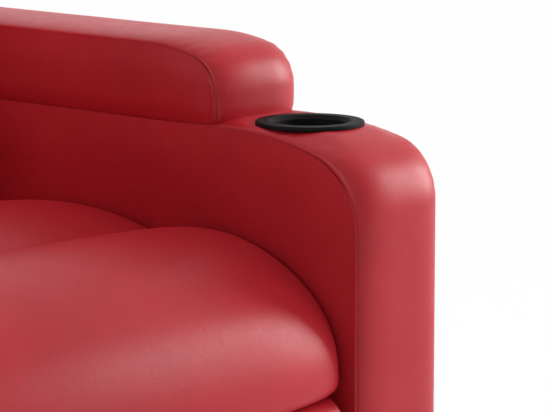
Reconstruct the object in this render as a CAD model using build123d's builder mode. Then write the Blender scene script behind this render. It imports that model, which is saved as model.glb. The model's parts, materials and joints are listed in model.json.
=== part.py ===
from build123d import *
import os
from math import cos, radians, sin

os.makedirs("parts", exist_ok=True)

# Massage recliner, in millimetres. +Z is up, the sitter faces -Y and has +X on the left.
# The origin is on the floor under the middle of the chair.

# Seat
seat_depth = 535
seat_set_back = 10
seat_width = 492
seat_side_gap = 4
seat_end_draw = 13
roll_under_z = 347
roll_nose_z = 353
roll_nose_radius = 123
roll_top_radius = 263
roll_nose_angle = 60
roll_rear_radius = 160
roll_rear_angle = 27
seat_crest_z = 505
seat_rear_edge_z = 472
seat_frame_top_z = 392
seat_frame_height = 39
seat_frame_set_back = 80
seat_rail = 34
webbing_width = 50
webbing_thickness = 2

# Arms
arm_width = 122
arm_length = 700
arm_top_z = 600
arm_nose_radius = 65
arm_sweep_radius = 433
arm_sweep_angle = 15.6
arm_heel = 40
band_crown = 10
crown_fullness = 0.6
arm_frame_thickness = 45
arm_frame_inset = 32
arm_frame_rail_z = 367
arm_frame_rail = 76
pad_front_set_back = 186
pad_rear_set_back = 12
pad_top_z = 677
pad_nose_radius = 46
pad_sweep_radius = 220
pad_sweep_angle = 15
pad_heel = 30
pad_gap = 1
foot_height = 45
foot_radius = 24
foot_inset = 62
stud_radius = 4
stud_length = 25

# Cup holders
cup_set_back = 123
cup_rim_radius = 54
cup_rim_height = 4
cup_edge_radius = 2
cup_mouth_flare = 4
cup_dish_depth = 4
cup_well_radius = 37
cup_depth = 78
cup_wall = 2.5

# Rails, rear panel and electrics
rail_bottom_z = 60
rail_height = 90
rail_thickness = 25
front_rail_set_back = 70
rear_rail_gap = 6
rear_panel_thickness = 5
rear_panel_top_z = 310
control_box_width = 130
control_box_height = 60
control_box_depth = 38
box_wall = 2.5
socket_radius = 9
socket_bore_radius = 3

# Footrest and its linkage
link_half = 130
folded_angle = 83
opened_angle = 9
drive_z = 330
drive_tube_radius = 10
drive_tube_wall = 2
drive_boss_radius = 16
link_width = 22
link_thickness = 3
link_gap = 0.5
pin_radius = 4
pin_head_radius = 7
pin_head = 3
bush_radius = 13
cross_tube_radius = 8
cross_tube_place = 190
board_set_back = 76
board_thickness = 15
board_hinge_gap = 40
board_drop = 25
footrest_side_gap = 7
footrest_bottom_z = 66
footrest_bulge = 10
footrest_end_draw = 14
flange_width = 28
lever_length = 150
lever_thickness = 11
side_plate_leg = 50

# Back
back_lean = 16
pivot_set_back = 108
pivot_z = 400
pivot_radius = 8
back_top_z = 1050
back_frame_thickness = 35
back_frame_bottom_z = 352
back_post = 50
back_rail = 50
back_top_rail = 70
back_foot_rail = 40
back_side_gap = 14
back_high_half_width = 274
back_corner_radius = 55
shoulder_z = 706
shoulder_rise = 40
back_panel_thickness = 5
back_cushion_bottom_z = 432
back_cushion_edge = 84
back_cushion_thickness = 122
back_cushion_end_draw = 34
middle_cushion_top_z = 884
cover_bottom_z = 452
cover_skirt_z = 362
cover_wall = 8
cover_rear = 30
bracket_thickness = 5
bracket_height = 92
bracket_lift = 1
bracket_bolt_drop = 30
bracket_bolt_rise = 32
collar_radius = 12

# Vibration motors
motor_housing_radius = 30
motor_housing_depth = 32
motor_housing_wall = 2
motor_radius = 12
motor_length = 26
motor_axis_depth = 15
weight_radius = 11
weight_thickness = 8
shaft_radius = 1.5
lumbar_motor_x = 95
lumbar_motor_z = 566
upper_motor_x = 115
upper_motor_z = 795

# Allowances
cloth_gap = 0.3
running_gap = 0.05

# Places worked out from the sizes above
lean_cos = cos(radians(back_lean))
lean_sin = sin(radians(back_lean))
back_rear = back_frame_thickness / 2 + cover_rear
rear_reach = back_rear * lean_cos + (back_top_z - pivot_z) * lean_sin
chair_depth = seat_set_back + seat_depth + pivot_set_back + rear_reach
arm_front_y = -chair_depth / 2
arm_rear_y = arm_front_y + arm_length
seat_front_y = arm_front_y + seat_set_back
seat_rear_y = seat_front_y + seat_depth
pivot_y = seat_rear_y + pivot_set_back
inner_x = seat_width / 2 + seat_side_gap
outer_x = inner_x + arm_width
arm_mid_x = inner_x + arm_width / 2
arm_seat_z = arm_top_z - band_crown
pad_front_y = arm_front_y + pad_front_set_back
cup_y = arm_front_y + cup_set_back
cup_seat_z = arm_top_z - cup_rim_height
cup_neck_z = arm_top_z - cup_dish_depth - cup_wall
cup_mouth_radius = cup_well_radius + cup_mouth_flare
frame_front_y = seat_front_y + seat_frame_set_back
seat_frame_low_z = seat_frame_top_z - seat_frame_height
frame_rear_y = seat_rear_y - cloth_gap
cushion_base_z = seat_frame_top_z + webbing_thickness
board_front_y = seat_front_y + board_set_back
board_rear_y = board_front_y + board_thickness
board_top_z = drive_z - board_drop
fold_cos = cos(radians(folded_angle))
fold_sin = sin(radians(folded_angle))
hinge_y = board_rear_y + board_hinge_gap
drive_y = hinge_y + 2 * link_half * fold_cos
guide_low_z = drive_z - 2 * link_half * fold_sin
guide_high_z = drive_z - 2 * link_half * sin(radians(opened_angle))
cross_y = drive_y - link_half * fold_cos
middle_z = drive_z - link_half * fold_sin
tail_y = drive_y - 3 * link_half * fold_cos
plate_x = inner_x - link_thickness
outer_link_x = plate_x - link_thickness - link_gap
inner_link_x = outer_link_x - link_thickness - link_gap
front_rail_y = drive_y + front_rail_set_back
rear_rail_y = arm_rear_y - rear_panel_thickness - rail_thickness - rear_rail_gap
panel_front_y = pivot_y - back_frame_thickness / 2 - back_panel_thickness
back_low_half_width = inner_x - back_side_gap
bracket_x = back_low_half_width
bolt_places = (drive_y + 60, (drive_y + pivot_y) / 2, pivot_y - 55)
bolt_z = (seat_frame_low_z + seat_frame_top_z) / 2
foot_places = (arm_front_y + foot_inset, arm_rear_y - foot_inset)


# Writes one finished piece under its name.
def save(piece, name):
    piece.label = name
    export_step(piece, f"parts/{name}.step")


# Writes a left-hand piece and its mirror image.
def save_pair(piece, name):
    save(piece, "left_" + name)
    save(mirror(piece, about=Plane.YZ), "right_" + name)


# A left-hand piece and its mirror image as one group.
def both_hands(piece):
    return piece + mirror(piece, about=Plane.YZ)


# Tips an upright piece of the back to its leaning place.
def leaned(piece):
    return piece.rotate(Axis((0, pivot_y, pivot_z), (1, 0, 0)), -back_lean)


# Round bar along X from one x to another.
def bar(x_from, x_to, y, z, radius):
    with BuildPart() as piece:
        with BuildSketch(Plane.YZ.offset(x_from)):
            with Locations((y, z)):
                Circle(radius)
        extrude(amount=x_to - x_from)
    return piece.part


# Flat strip along X, Y and Z between two corners.
def block(low, high):
    with BuildPart() as piece:
        with BuildSketch(Plane.XY.offset(low[2])):
            with Locations(((low[0] + high[0]) / 2, (low[1] + high[1]) / 2)):
                Rectangle(high[0] - low[0], high[1] - low[1])
        extrude(amount=high[2] - low[2])
    return piece.part


# Side outline with a round nose that runs on into a flat top and a rounded heel.
def nosed_face(x, front, rear, bottom, top, nose, sweep, angle, heel):
    drop = nose * cos(radians(angle)) + sweep * (1 - cos(radians(angle)))
    with BuildSketch(Plane.YZ.offset(x)) as section:
        with BuildLine():
            face = Line((front, bottom), (front, top - drop))
            brow = JernArc(face @ 1, (0, 1), nose, angle - 90)
            crest = JernArc(brow @ 1, brow % 1, sweep, -angle)
            deck = Line(crest @ 1, (rear - heel, top))
            back = JernArc(deck @ 1, (1, 0), heel, -90)
            Polyline(back @ 1, (rear, bottom), (front, bottom))
        make_face()
    return section.sketch.face()


# Places across a crowned piece, each with how far its outline is drawn in there.
def crown_places(middle, half_width, end_draw):
    places = []
    for angle in (-90, -50, 0, 50, 90):
        side = -1 if angle < 0 else 1
        reach = abs(sin(radians(angle))) ** crown_fullness
        places.append((middle + side * half_width * reach, end_draw * (1 - cos(radians(angle)))))
    return places


def arm_section(x, drop):
    return nosed_face(
        x, arm_front_y + drop, arm_rear_y - drop, foot_height, arm_top_z - drop,
        arm_nose_radius - drop, arm_sweep_radius - drop, arm_sweep_angle, arm_heel - drop,
    )


def pad_section(x, drop):
    return nosed_face(
        x, pad_front_y + drop, arm_rear_y - pad_rear_set_back - drop, arm_seat_z, pad_top_z - drop,
        pad_nose_radius - drop, pad_sweep_radius - drop, pad_sweep_angle, pad_heel - drop,
    )


# Outline of the wooden arm frame, grown for the hollow that takes it.
def arm_frame_blank(grow, below):
    front = arm_front_y + arm_frame_inset - grow
    rear = arm_rear_y - arm_frame_inset + grow
    low_top = arm_top_z - cup_depth - 22 + grow
    high_top = arm_seat_z - 30 + grow
    step = cup_y + cup_rim_radius + 10 - grow
    half = arm_frame_thickness / 2 + grow
    with BuildPart() as frame:
        with BuildSketch(Plane.YZ.offset(arm_mid_x - half)):
            with BuildLine():
                Polyline(
                    (front, foot_height - below), (front, low_top), (step, low_top), (step, high_top),
                    (rear, high_top), (rear, foot_height - below), (front, foot_height - below),
                )
            make_face()
        extrude(amount=2 * half)
    return frame.part


# Left arm frame with its windows, bolt holes and stud holes.
def arm_frame():
    window_front = drive_y + 40
    window_rear = arm_rear_y - arm_frame_inset - 65
    window_middle = (window_front + window_rear) / 2
    rail_low = arm_frame_rail_z - arm_frame_rail / 2
    rail_high = arm_frame_rail_z + arm_frame_rail / 2
    low_height = rail_low - foot_height - 60
    high_height = arm_seat_z - 30 - 50 - rail_high
    with BuildPart() as frame:
        add(arm_frame_blank(0, 0))
        with BuildSketch(Plane.YZ.offset(inner_x)):
            with Locations((window_middle, rail_low - low_height / 2)):
                RectangleRounded(window_rear - window_front, low_height, 12)
            with Locations((window_middle, rail_high + high_height / 2)):
                RectangleRounded(window_rear - window_front, high_height, 12)
            with Locations(*[(y, bolt_z) for y in bolt_places]):
                Circle(stud_radius + running_gap)
        extrude(amount=arm_width, mode=Mode.SUBTRACT)
        with BuildSketch(Plane.XY.offset(foot_height)):
            with Locations(*[(arm_mid_x, y) for y in foot_places]):
                Circle(stud_radius + running_gap)
        extrude(amount=stud_length + 1, mode=Mode.SUBTRACT)
    return frame.part


# Left arm cover: a crowned band over flat side panels, hollow for the frame, with the cup's hole.
def arm_cover():
    with BuildPart() as cover:
        loft([arm_section(x, drop) for x, drop in crown_places(arm_mid_x, arm_width / 2, band_crown)])
        add(arm_frame_blank(cloth_gap, 20), mode=Mode.SUBTRACT)
        with BuildSketch(Plane.XY.offset(arm_seat_z)):
            with Locations((arm_mid_x, (pad_front_y + arm_rear_y) / 2)):
                Rectangle(arm_width + 20, arm_rear_y - pad_front_y + 2 * pad_gap)
        extrude(amount=2 * band_crown, mode=Mode.SUBTRACT)
        with BuildSketch(Plane.XY.offset(cup_seat_z)):
            with Locations((arm_mid_x, cup_y)):
                Circle(cup_rim_radius + cloth_gap)
        extrude(amount=2 * cup_rim_height, mode=Mode.SUBTRACT)
        with BuildSketch(Plane.XY.offset(cup_seat_z)):
            with Locations((arm_mid_x, cup_y)):
                Circle(cup_well_radius + cup_wall + cloth_gap)
        extrude(amount=cup_rim_height - cup_depth - cup_wall - 1, mode=Mode.SUBTRACT)
        with Locations((arm_mid_x, cup_y, cup_seat_z)):
            Cone(
                cup_well_radius + cup_wall + 2 * cloth_gap, cup_mouth_radius + 2 * cloth_gap,
                cup_seat_z - cup_neck_z, align=(Align.CENTER, Align.CENTER, Align.MAX), mode=Mode.SUBTRACT,
            )
        with BuildSketch(Plane.YZ.offset(inner_x)):
            with Locations(*[(y, bolt_z) for y in bolt_places]):
                Circle(stud_radius + cloth_gap)
        extrude(amount=arm_width / 2, mode=Mode.SUBTRACT)
    return cover.part


# Right-hand arm pieces let the drive tube through.
def with_tube_hole(piece):
    return piece - bar(-outer_x - 10, -inner_x + 10, drive_y, drive_z, drive_tube_radius + 1.5)


left_frame = arm_frame()
left_cover = arm_cover()
save(left_frame, "left_arm_frame")
save(left_cover, "left_arm_cover")
save(with_tube_hole(mirror(left_frame, about=Plane.YZ)), "right_arm_frame")
save(with_tube_hole(mirror(left_cover, about=Plane.YZ)), "right_arm_cover")

with BuildPart() as arm_pad:
    loft([pad_section(x, drop) for x, drop in crown_places(arm_mid_x, arm_width / 2, band_crown)])
save_pair(arm_pad.part, "arm_pad")

with BuildPart() as cup_holder:
    with BuildSketch(Plane.XZ.offset(-cup_y)):
        with BuildLine():
            well = arm_mid_x + cup_well_radius
            rim = arm_mid_x + cup_rim_radius
            floor = arm_top_z - cup_depth
            edge_z = arm_top_z - cup_edge_radius
            Polyline(
                (arm_mid_x, floor), (arm_mid_x, floor - cup_wall), (well + cup_wall, floor - cup_wall),
                (well + cup_wall, cup_neck_z), (arm_mid_x + cup_mouth_radius, cup_seat_z),
                (rim, cup_seat_z), (rim, edge_z),
            )
            edge = JernArc((rim, edge_z), (0, 1), cup_edge_radius, 90)
            Polyline(
                edge @ 1, (arm_mid_x + cup_mouth_radius, arm_top_z), (well, arm_top_z - cup_dish_depth),
                (well, floor), (arm_mid_x, floor),
            )
        make_face()
    revolve(axis=Axis((arm_mid_x, cup_y, 0), (0, 0, 1)))
save_pair(cup_holder.part, "cup_holder")

# Four feet, each with its stud
with BuildPart() as feet:
    with BuildSketch(Plane.XY):
        with Locations(*[(x, y) for x in (-arm_mid_x, arm_mid_x) for y in foot_places]):
            Circle(foot_radius - 4)
    extrude(amount=foot_height, taper=-5)
    with BuildSketch(Plane.XY.offset(foot_height)):
        with Locations(*[(x, y) for x in (-arm_mid_x, arm_mid_x) for y in foot_places]):
            Circle(stud_radius)
    extrude(amount=stud_length)
save(feet.part, "feet")

# Rails between the arms, and the panel that closes the rear
rail_top_z = rail_bottom_z + rail_height
rear_rail_end_y = rear_rail_y + rail_thickness
save(
    block((-inner_x, front_rail_y, rail_bottom_z), (inner_x, front_rail_y + rail_thickness, rail_top_z)),
    "front_rail",
)
socket_z = (rail_bottom_z + rail_top_z) / 2
with BuildPart() as rear_rail:
    add(block((-inner_x, rear_rail_y, rail_bottom_z), (inner_x, rear_rail_end_y, rail_top_z)))
    with BuildSketch(Plane.XZ.offset(-rear_rail_y)):
        with Locations((0, socket_z)):
            Circle(socket_radius + cloth_gap)
    extrude(amount=-rail_thickness, mode=Mode.SUBTRACT)
save(rear_rail.part, "rear_rail")

with BuildPart() as rear_panel:
    add(block(
        (-inner_x, rear_rail_end_y, foot_height + 8),
        (inner_x, rear_rail_end_y + rear_panel_thickness, rear_panel_top_z),
    ))
    with BuildSketch(Plane.XZ.offset(-rear_rail_end_y)):
        with Locations((0, socket_z)):
            Circle(socket_radius + cloth_gap)
    extrude(amount=-rear_panel_thickness, mode=Mode.SUBTRACT)
save(rear_panel.part, "rear_panel")

# Socket with a flange on the rear panel
socket_end_y = rear_rail_end_y + rear_panel_thickness
with BuildPart() as power_socket:
    with BuildSketch(Plane.XZ.offset(-rear_rail_y)):
        with Locations((0, socket_z)):
            Circle(socket_radius)
    extrude(amount=rear_rail_y - socket_end_y)
    with BuildSketch(Plane.XZ.offset(-socket_end_y)):
        with Locations((0, socket_z)):
            Circle(socket_radius + 5)
    extrude(amount=-3)
    with BuildSketch(Plane.XZ.offset(-socket_end_y - 3)):
        with Locations((0, socket_z)):
            Circle(socket_bore_radius)
    extrude(amount=18, mode=Mode.SUBTRACT)
save(power_socket.part, "power_socket")

# Control box on the rear rail, open to the front, and its lid
box_front_y = rear_rail_y - control_box_depth
with BuildPart() as control_box:
    with BuildSketch(Plane.XZ.offset(-rear_rail_y)):
        with Locations((0, socket_z)):
            RectangleRounded(control_box_width, control_box_height, 6)
    extrude(amount=control_box_depth)
    with BuildSketch(Plane.XZ.offset(-rear_rail_y + box_wall)):
        with Locations((0, socket_z)):
            RectangleRounded(control_box_width - 2 * box_wall, control_box_height - 2 * box_wall, 4)
    extrude(amount=control_box_depth, mode=Mode.SUBTRACT)
save(control_box.part, "control_box")

with BuildPart() as control_box_lid:
    with BuildSketch(Plane.XZ.offset(-box_front_y)):
        with Locations((0, socket_z)):
            RectangleRounded(control_box_width, control_box_height, 6)
    extrude(amount=box_wall)
save(control_box_lid.part, "control_box_lid")

# Seat frame, its webbing and the cushion
frame_half = plate_x
frame_middle_y = (frame_front_y + frame_rear_y) / 2
frame_depth = frame_rear_y - frame_front_y
with BuildPart() as seat_frame:
    with BuildSketch(Plane.XY.offset(seat_frame_low_z)):
        with Locations((0, frame_middle_y)):
            Rectangle(2 * frame_half, frame_depth)
            Rectangle(2 * (frame_half - seat_rail), frame_depth - 2 * seat_rail, mode=Mode.SUBTRACT)
    extrude(amount=seat_frame_height)
    with BuildSketch(Plane.YZ.offset(-frame_half)):
        with Locations(*[(y, bolt_z) for y in bolt_places if y < frame_rear_y]):
            Circle(stud_radius + running_gap)
    extrude(amount=2 * frame_half, mode=Mode.SUBTRACT)
save(seat_frame.part, "seat_frame")

with BuildPart() as seat_webbing:
    with BuildSketch(Plane.XY.offset(seat_frame_top_z)):
        with Locations((0, frame_middle_y)):
            with GridLocations(2 * webbing_width, 1, 4, 1):
                Rectangle(webbing_width, frame_depth - 10)
            with GridLocations(1, 2 * webbing_width, 1, 4):
                Rectangle(2 * frame_half - 10, webbing_width)
    extrude(amount=webbing_thickness)
save(seat_webbing.part, "seat_webbing")


# Side outline of the seat cushion: a front roll that hangs over the frame, a dip and the rear pad.
def seat_section(x, drop):
    front = seat_front_y + drop
    nose = roll_nose_radius - drop
    top = roll_top_radius - drop
    with BuildSketch(Plane.YZ.offset(x)) as section:
        with BuildLine():
            Line((front, roll_under_z), (front, roll_nose_z))
            brow = JernArc((front, roll_nose_z), (0, 1), nose, -roll_nose_angle)
            crest = JernArc(brow @ 1, brow % 1, top, roll_nose_angle - 90)
            fall = JernArc(crest @ 1, (1, 0), roll_rear_radius - drop, -roll_rear_angle)
            dip = fall @ 1
            rear_edge = (seat_rear_y, seat_rear_edge_z - drop)
            middle = ((dip.X + seat_rear_y) / 2, seat_crest_z - drop)
            rise = ThreePointArc(dip, middle, rear_edge)
            Polyline(
                rise @ 1, (seat_rear_y, cushion_base_z), (frame_front_y - cloth_gap, cushion_base_z),
                (frame_front_y - cloth_gap, roll_under_z), (front, roll_under_z),
            )
        make_face()
    return section.sketch.face()


with BuildPart() as seat_cushion:
    loft([seat_section(x, d) for x, d in crown_places(0, seat_width / 2, seat_end_draw)])
save(seat_cushion.part, "seat_cushion")

# Steel side plate: front leg with the shaft bearing and the guide slot, top bar, lug of the back pivot
plate_front_y = drive_y - side_plate_leg / 2
plate_rear_y = drive_y + side_plate_leg / 2
with BuildPart() as side_plate:
    with BuildSketch(Plane.YZ.offset(plate_x)):
        with BuildLine():
            Polyline(
                (plate_front_y, guide_low_z - 16), (plate_front_y, seat_frame_top_z),
                (pivot_y, seat_frame_top_z), (pivot_y, seat_frame_low_z), (plate_rear_y, seat_frame_low_z),
                (plate_rear_y, guide_low_z - 16), (plate_front_y, guide_low_z - 16),
            )
        make_face()
        with Locations((pivot_y, pivot_z)):
            Circle(2 * collar_radius)
        with Locations((pivot_y - 20, (seat_frame_low_z + pivot_z) / 2)):
            Rectangle(40, pivot_z - seat_frame_low_z)
        with Locations((pivot_y, pivot_z)):
            Circle(pivot_radius + running_gap, mode=Mode.SUBTRACT)
        with Locations((drive_y, drive_z)):
            Circle(bush_radius, mode=Mode.SUBTRACT)
        with Locations((drive_y, (guide_low_z + guide_high_z) / 2)):
            SlotCenterToCenter(
                guide_high_z - guide_low_z, 2 * (pin_radius + running_gap), rotation=90, mode=Mode.SUBTRACT
            )
        with Locations(*[(y, bolt_z) for y in bolt_places]):
            Circle(stud_radius + running_gap, mode=Mode.SUBTRACT)
    extrude(amount=link_thickness)
save_pair(side_plate.part, "side_plate")

with BuildPart() as shaft_bush:
    with BuildSketch(Plane.YZ.offset(plate_x)):
        with Locations((drive_y, drive_z)):
            Circle(bush_radius)
            Circle(drive_tube_radius + running_gap, mode=Mode.SUBTRACT)
    extrude(amount=link_thickness)
save(both_hands(shaft_bush.part), "shaft_bushes")


# Bolt from the seat rail, or from the plate behind the seat, through the side plate into the arm frame
def mechanism_bolt(y):
    head_x = frame_half - seat_rail if y < frame_rear_y else plate_x
    with BuildPart() as bolt:
        add(bar(head_x, arm_mid_x + arm_frame_thickness / 2, y, bolt_z, stud_radius))
        add(bar(head_x - 5, head_x, y, bolt_z, 2 * stud_radius))
    return bolt.part


with BuildPart() as mechanism_bolts:
    for bolt_y in bolt_places:
        add(both_hands(mechanism_bolt(bolt_y)))
save(mechanism_bolts.part, "mechanism_bolts")

with BuildPart() as back_pivot_pin:
    add(bar(bracket_x - 6, inner_x, pivot_y, pivot_z, pivot_radius))
    add(bar(bracket_x + bracket_thickness + link_gap, plate_x, pivot_y, pivot_z, collar_radius))
    add(bar(bracket_x - 6, bracket_x - link_gap, pivot_y, pivot_z, pivot_radius + 3))
save(both_hands(back_pivot_pin.part), "back_pivot_pins")

# Drive tube across the chair, out through the right arm to the lever
tube_end_x = -outer_x - lever_thickness + 2
with BuildPart() as drive_tube:
    add(bar(tube_end_x, inner_x, drive_y, drive_z, drive_tube_radius))
    add(
        bar(tube_end_x, inner_x, drive_y, drive_z, drive_tube_radius - drive_tube_wall),
        mode=Mode.SUBTRACT,
    )
save(drive_tube.part, "drive_tube")

lever_x = -outer_x - 1 - lever_thickness
with BuildPart() as release_lever:
    with BuildSketch(Plane.YZ.offset(lever_x)):
        with Locations((drive_y, drive_z)):
            Circle(drive_boss_radius + 2)
        with Locations((drive_y - lever_length / 2, drive_z)):
            SlotCenterToCenter(lever_length, link_width)
        with Locations((drive_y - lever_length + 25, drive_z)):
            SlotCenterToCenter(50, 1.3 * link_width)
    extrude(amount=lever_thickness)
    fillet(release_lever.faces().sort_by(Axis.X)[0].edges(), 3)
    add(
        bar(tube_end_x, -outer_x, drive_y, drive_z, drive_tube_radius + running_gap),
        mode=Mode.SUBTRACT,
    )
save(release_lever.part, "release_lever")


# Flat link between two pivots, with more pivot holes between them.
def link(x, start, end, between, start_hole, start_radius):
    middle = ((start[0] + end[0]) / 2, (start[1] + end[1]) / 2)
    with BuildPart() as piece:
        with BuildSketch(Plane.YZ.offset(x)):
            SlotCenterPoint(middle, end, link_width)
            with Locations(start):
                Circle(start_radius)
                Circle(start_hole, mode=Mode.SUBTRACT)
            with Locations(end, *between):
                Circle(pin_radius + running_gap, mode=Mode.SUBTRACT)
        extrude(amount=link_thickness)
    return piece.part


# Rivet through both layers of links, its head on the inner side
def rivet(y, z, x_end):
    return bar(inner_link_x, x_end, y, z, pin_radius) + bar(
        inner_link_x - pin_head, inner_link_x, y, z, pin_head_radius
    )


drive_place = (drive_y, drive_z)
guide_place = (drive_y, guide_low_z)
cross_place = (cross_y, middle_z)
elbow_place = (hinge_y, guide_low_z)
hinge_place = (hinge_y, drive_z)
tail_place = (tail_y, middle_z)
pin_hole = pin_radius + running_gap
link_round = link_width / 2
rivet_end_x = outer_link_x + link_thickness
drive_hole = drive_tube_radius + running_gap

save_pair(
    link(outer_link_x, drive_place, elbow_place, [cross_place], drive_hole, drive_boss_radius), "drive_link"
)

# Crossing links, joined by a tube
tube_share = cross_tube_place / (2 * link_half)
tube_y = drive_y + (hinge_y - drive_y) * tube_share
tube_z = guide_low_z + (drive_z - guide_low_z) * tube_share
save_pair(
    link(inner_link_x, guide_place, hinge_place, [cross_place], pin_hole, link_round), "cross_link"
)
with BuildPart() as cross_tube:
    add(bar(-inner_link_x, inner_link_x, tube_y, tube_z, cross_tube_radius))
    add(bar(-inner_link_x, inner_link_x, tube_y, tube_z, cross_tube_radius - 1.5), mode=Mode.SUBTRACT)
save(cross_tube.part, "cross_tube")
with BuildPart() as cross_pins:
    add(both_hands(rivet(cross_y, middle_z, rivet_end_x)))
    add(both_hands(rivet(drive_y, guide_low_z, inner_x)))
save(cross_pins.part, "cross_pins")

save_pair(link(inner_link_x, elbow_place, tail_place, [], pin_hole, link_round), "short_link")
save(both_hands(rivet(hinge_y, guide_low_z, rivet_end_x)), "short_link_pins")

# Footrest bracket: pivot strip and web in the outer layer, flange bent in behind the board
bracket_low_z = footrest_bottom_z + 45
bracket_end_y = tail_y - (middle_z - bracket_low_z - link_round) * fold_cos / fold_sin
bracket_end = (bracket_end_y, bracket_low_z + link_round)
with BuildPart() as footrest_bracket:
    with BuildSketch(Plane.YZ.offset(outer_link_x)):
        with BuildLine():
            Polyline(
                (hinge_y, board_top_z - 15), (board_rear_y, board_top_z - 15),
                (board_rear_y, bracket_low_z), (bracket_end_y, bracket_low_z), (hinge_y, board_top_z - 15),
            )
        make_face()
        SlotCenterPoint(
            ((hinge_y + bracket_end[0]) / 2, (drive_z + bracket_end[1]) / 2), hinge_place, link_width
        )
        with Locations(hinge_place, tail_place):
            Circle(pin_hole, mode=Mode.SUBTRACT)
    extrude(amount=link_thickness)
    add(block(
        (outer_link_x - flange_width, board_rear_y, bracket_low_z),
        (outer_link_x + link_thickness, board_rear_y + link_thickness, board_top_z - 15),
    ))
save_pair(footrest_bracket.part, "footrest_bracket")

with BuildPart() as footrest_pins:
    add(both_hands(rivet(hinge_y, drive_z, rivet_end_x)))
    add(both_hands(rivet(tail_y, middle_z, rivet_end_x)))
save(footrest_pins.part, "footrest_pins")

footrest_half = inner_x - footrest_side_gap
save(
    block(
        (-footrest_half, board_front_y, footrest_bottom_z + 8), (footrest_half, board_rear_y, board_top_z)
    ),
    "footrest_board",
)


# Side outline of the footrest pad: bulging front, top that falls away to the board
def footrest_section(x, drop):
    top_front = (seat_front_y + 3 + drop, roll_under_z - 4 - drop)
    low_front = (seat_front_y + 20 + drop, footrest_bottom_z + drop / 2)
    middle = (seat_front_y - footrest_bulge + drop, (roll_under_z + footrest_bottom_z) / 2)
    with BuildSketch(Plane.YZ.offset(x)) as section:
        with BuildLine():
            ThreePointArc(low_front, middle, top_front)
            Polyline(
                top_front, (board_front_y, board_top_z),
                (board_front_y, footrest_bottom_z + drop / 2), low_front,
            )
        make_face()
    return section.sketch.face()


with BuildPart() as footrest_pad:
    loft([footrest_section(x, d) for x, d in crown_places(0, footrest_half, footrest_end_draw)])
save(footrest_pad.part, "footrest_pad")


# Front outline of the back, narrow between the arms and wide above them
def back_outline(y, bottom, grow):
    low = back_low_half_width + grow
    high = back_high_half_width + grow
    top = back_top_z - cover_wall + grow
    with BuildSketch(Plane.XZ.offset(-y)) as outline:
        with BuildLine():
            Polyline(
                (-low, bottom), (-low, shoulder_z), (-high, shoulder_z + shoulder_rise), (-high, top),
                (high, top), (high, shoulder_z + shoulder_rise), (low, shoulder_z), (low, bottom),
                (-low, bottom),
            )
        make_face()
        fillet(outline.vertices().group_by(Axis.Y)[-1], back_corner_radius)
    return outline.sketch


frame_rear = pivot_y + back_frame_thickness / 2
frame_front = pivot_y - back_frame_thickness / 2
with BuildPart() as back_frame:
    extrude(back_outline(frame_rear, back_frame_bottom_z, 0), amount=back_frame_thickness)
    with BuildSketch(Plane.XZ.offset(-frame_rear)):
        window_top = shoulder_z + shoulder_rise / 2
        window_low = back_cushion_bottom_z + back_foot_rail
        high_low = window_top + back_rail
        high_top = back_top_z - back_top_rail
        with Locations((0, (window_top + window_low) / 2)):
            Rectangle(2 * (back_low_half_width - back_post), window_top - window_low)
        with Locations((0, (high_low + high_top) / 2)):
            Rectangle(2 * (back_low_half_width - back_post), high_top - high_low)
    extrude(amount=back_frame_thickness, mode=Mode.SUBTRACT)
    for x_from, x_to in ((bracket_x - 7, bracket_x), (-bracket_x, 7 - bracket_x)):
        add(bar(x_from, x_to, pivot_y, pivot_z, pivot_radius + 5), mode=Mode.SUBTRACT)
    for bolt_z_place in (pivot_z - bracket_bolt_drop, pivot_z + bracket_bolt_rise):
        add(
            bar(-bracket_x, bracket_x, pivot_y, bolt_z_place, stud_radius + running_gap), mode=Mode.SUBTRACT
        )
save(leaned(back_frame.part), "back_frame")

with BuildPart() as back_panel:
    extrude(back_outline(frame_front, back_cushion_bottom_z, 0), amount=back_panel_thickness)
save(leaned(back_panel.part), "back_panel")

with BuildPart() as back_cover:
    extrude(back_outline(frame_rear + cover_rear, cover_skirt_z, cover_wall), amount=cover_rear)
    fillet(back_cover.faces().sort_by(Axis.Y)[-1].edges(), 16)
    extrude(back_outline(frame_rear, cover_bottom_z, cover_wall), amount=back_frame_thickness)
    extrude(
        back_outline(frame_rear, cover_bottom_z - 10, cloth_gap),
        amount=back_frame_thickness, mode=Mode.SUBTRACT,
    )
save(leaned(back_cover.part), "back_cover")

with BuildPart() as back_bracket:
    with BuildSketch(Plane.YZ.offset(bracket_x)):
        with Locations((pivot_y, pivot_z + bracket_lift)):
            RectangleRounded(back_frame_thickness, bracket_height, 12)
        with Locations((pivot_y, pivot_z)):
            Circle(pivot_radius + running_gap, mode=Mode.SUBTRACT)
        with Locations((pivot_y, pivot_z - bracket_bolt_drop), (pivot_y, pivot_z + bracket_bolt_rise)):
            Circle(stud_radius + running_gap, mode=Mode.SUBTRACT)
    extrude(amount=bracket_thickness)
save_pair(leaned(back_bracket.part), "back_bracket")

with BuildPart() as back_bolts:
    for bolt_z_place in (pivot_z - bracket_bolt_drop, pivot_z + bracket_bolt_rise):
        add(both_hands(
            bar(bracket_x - back_post, bracket_x + bracket_thickness, pivot_y, bolt_z_place, stud_radius)
            + bar(bracket_x + bracket_thickness, inner_x - 5, pivot_y, bolt_z_place, 7)
        ))
save(leaned(back_bolts.part), "back_bolts")


# Side outline of a back cushion: flat on the panel, full in front
def puff_section(x, drop, low, high):
    edge = panel_front_y - back_cushion_edge + drop
    with BuildSketch(Plane.YZ.offset(x)) as section:
        with BuildLine():
            low_edge = (edge, low + drop / 4)
            high_edge = (edge, high - drop / 4)
            middle = (panel_front_y - back_cushion_thickness + drop, (low + high) / 2)
            ThreePointArc(low_edge, middle, high_edge)
            Polyline(high_edge, (panel_front_y, high - drop / 4), (panel_front_y, low + drop / 4), low_edge)
        make_face()
    return section.sketch.face()


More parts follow.
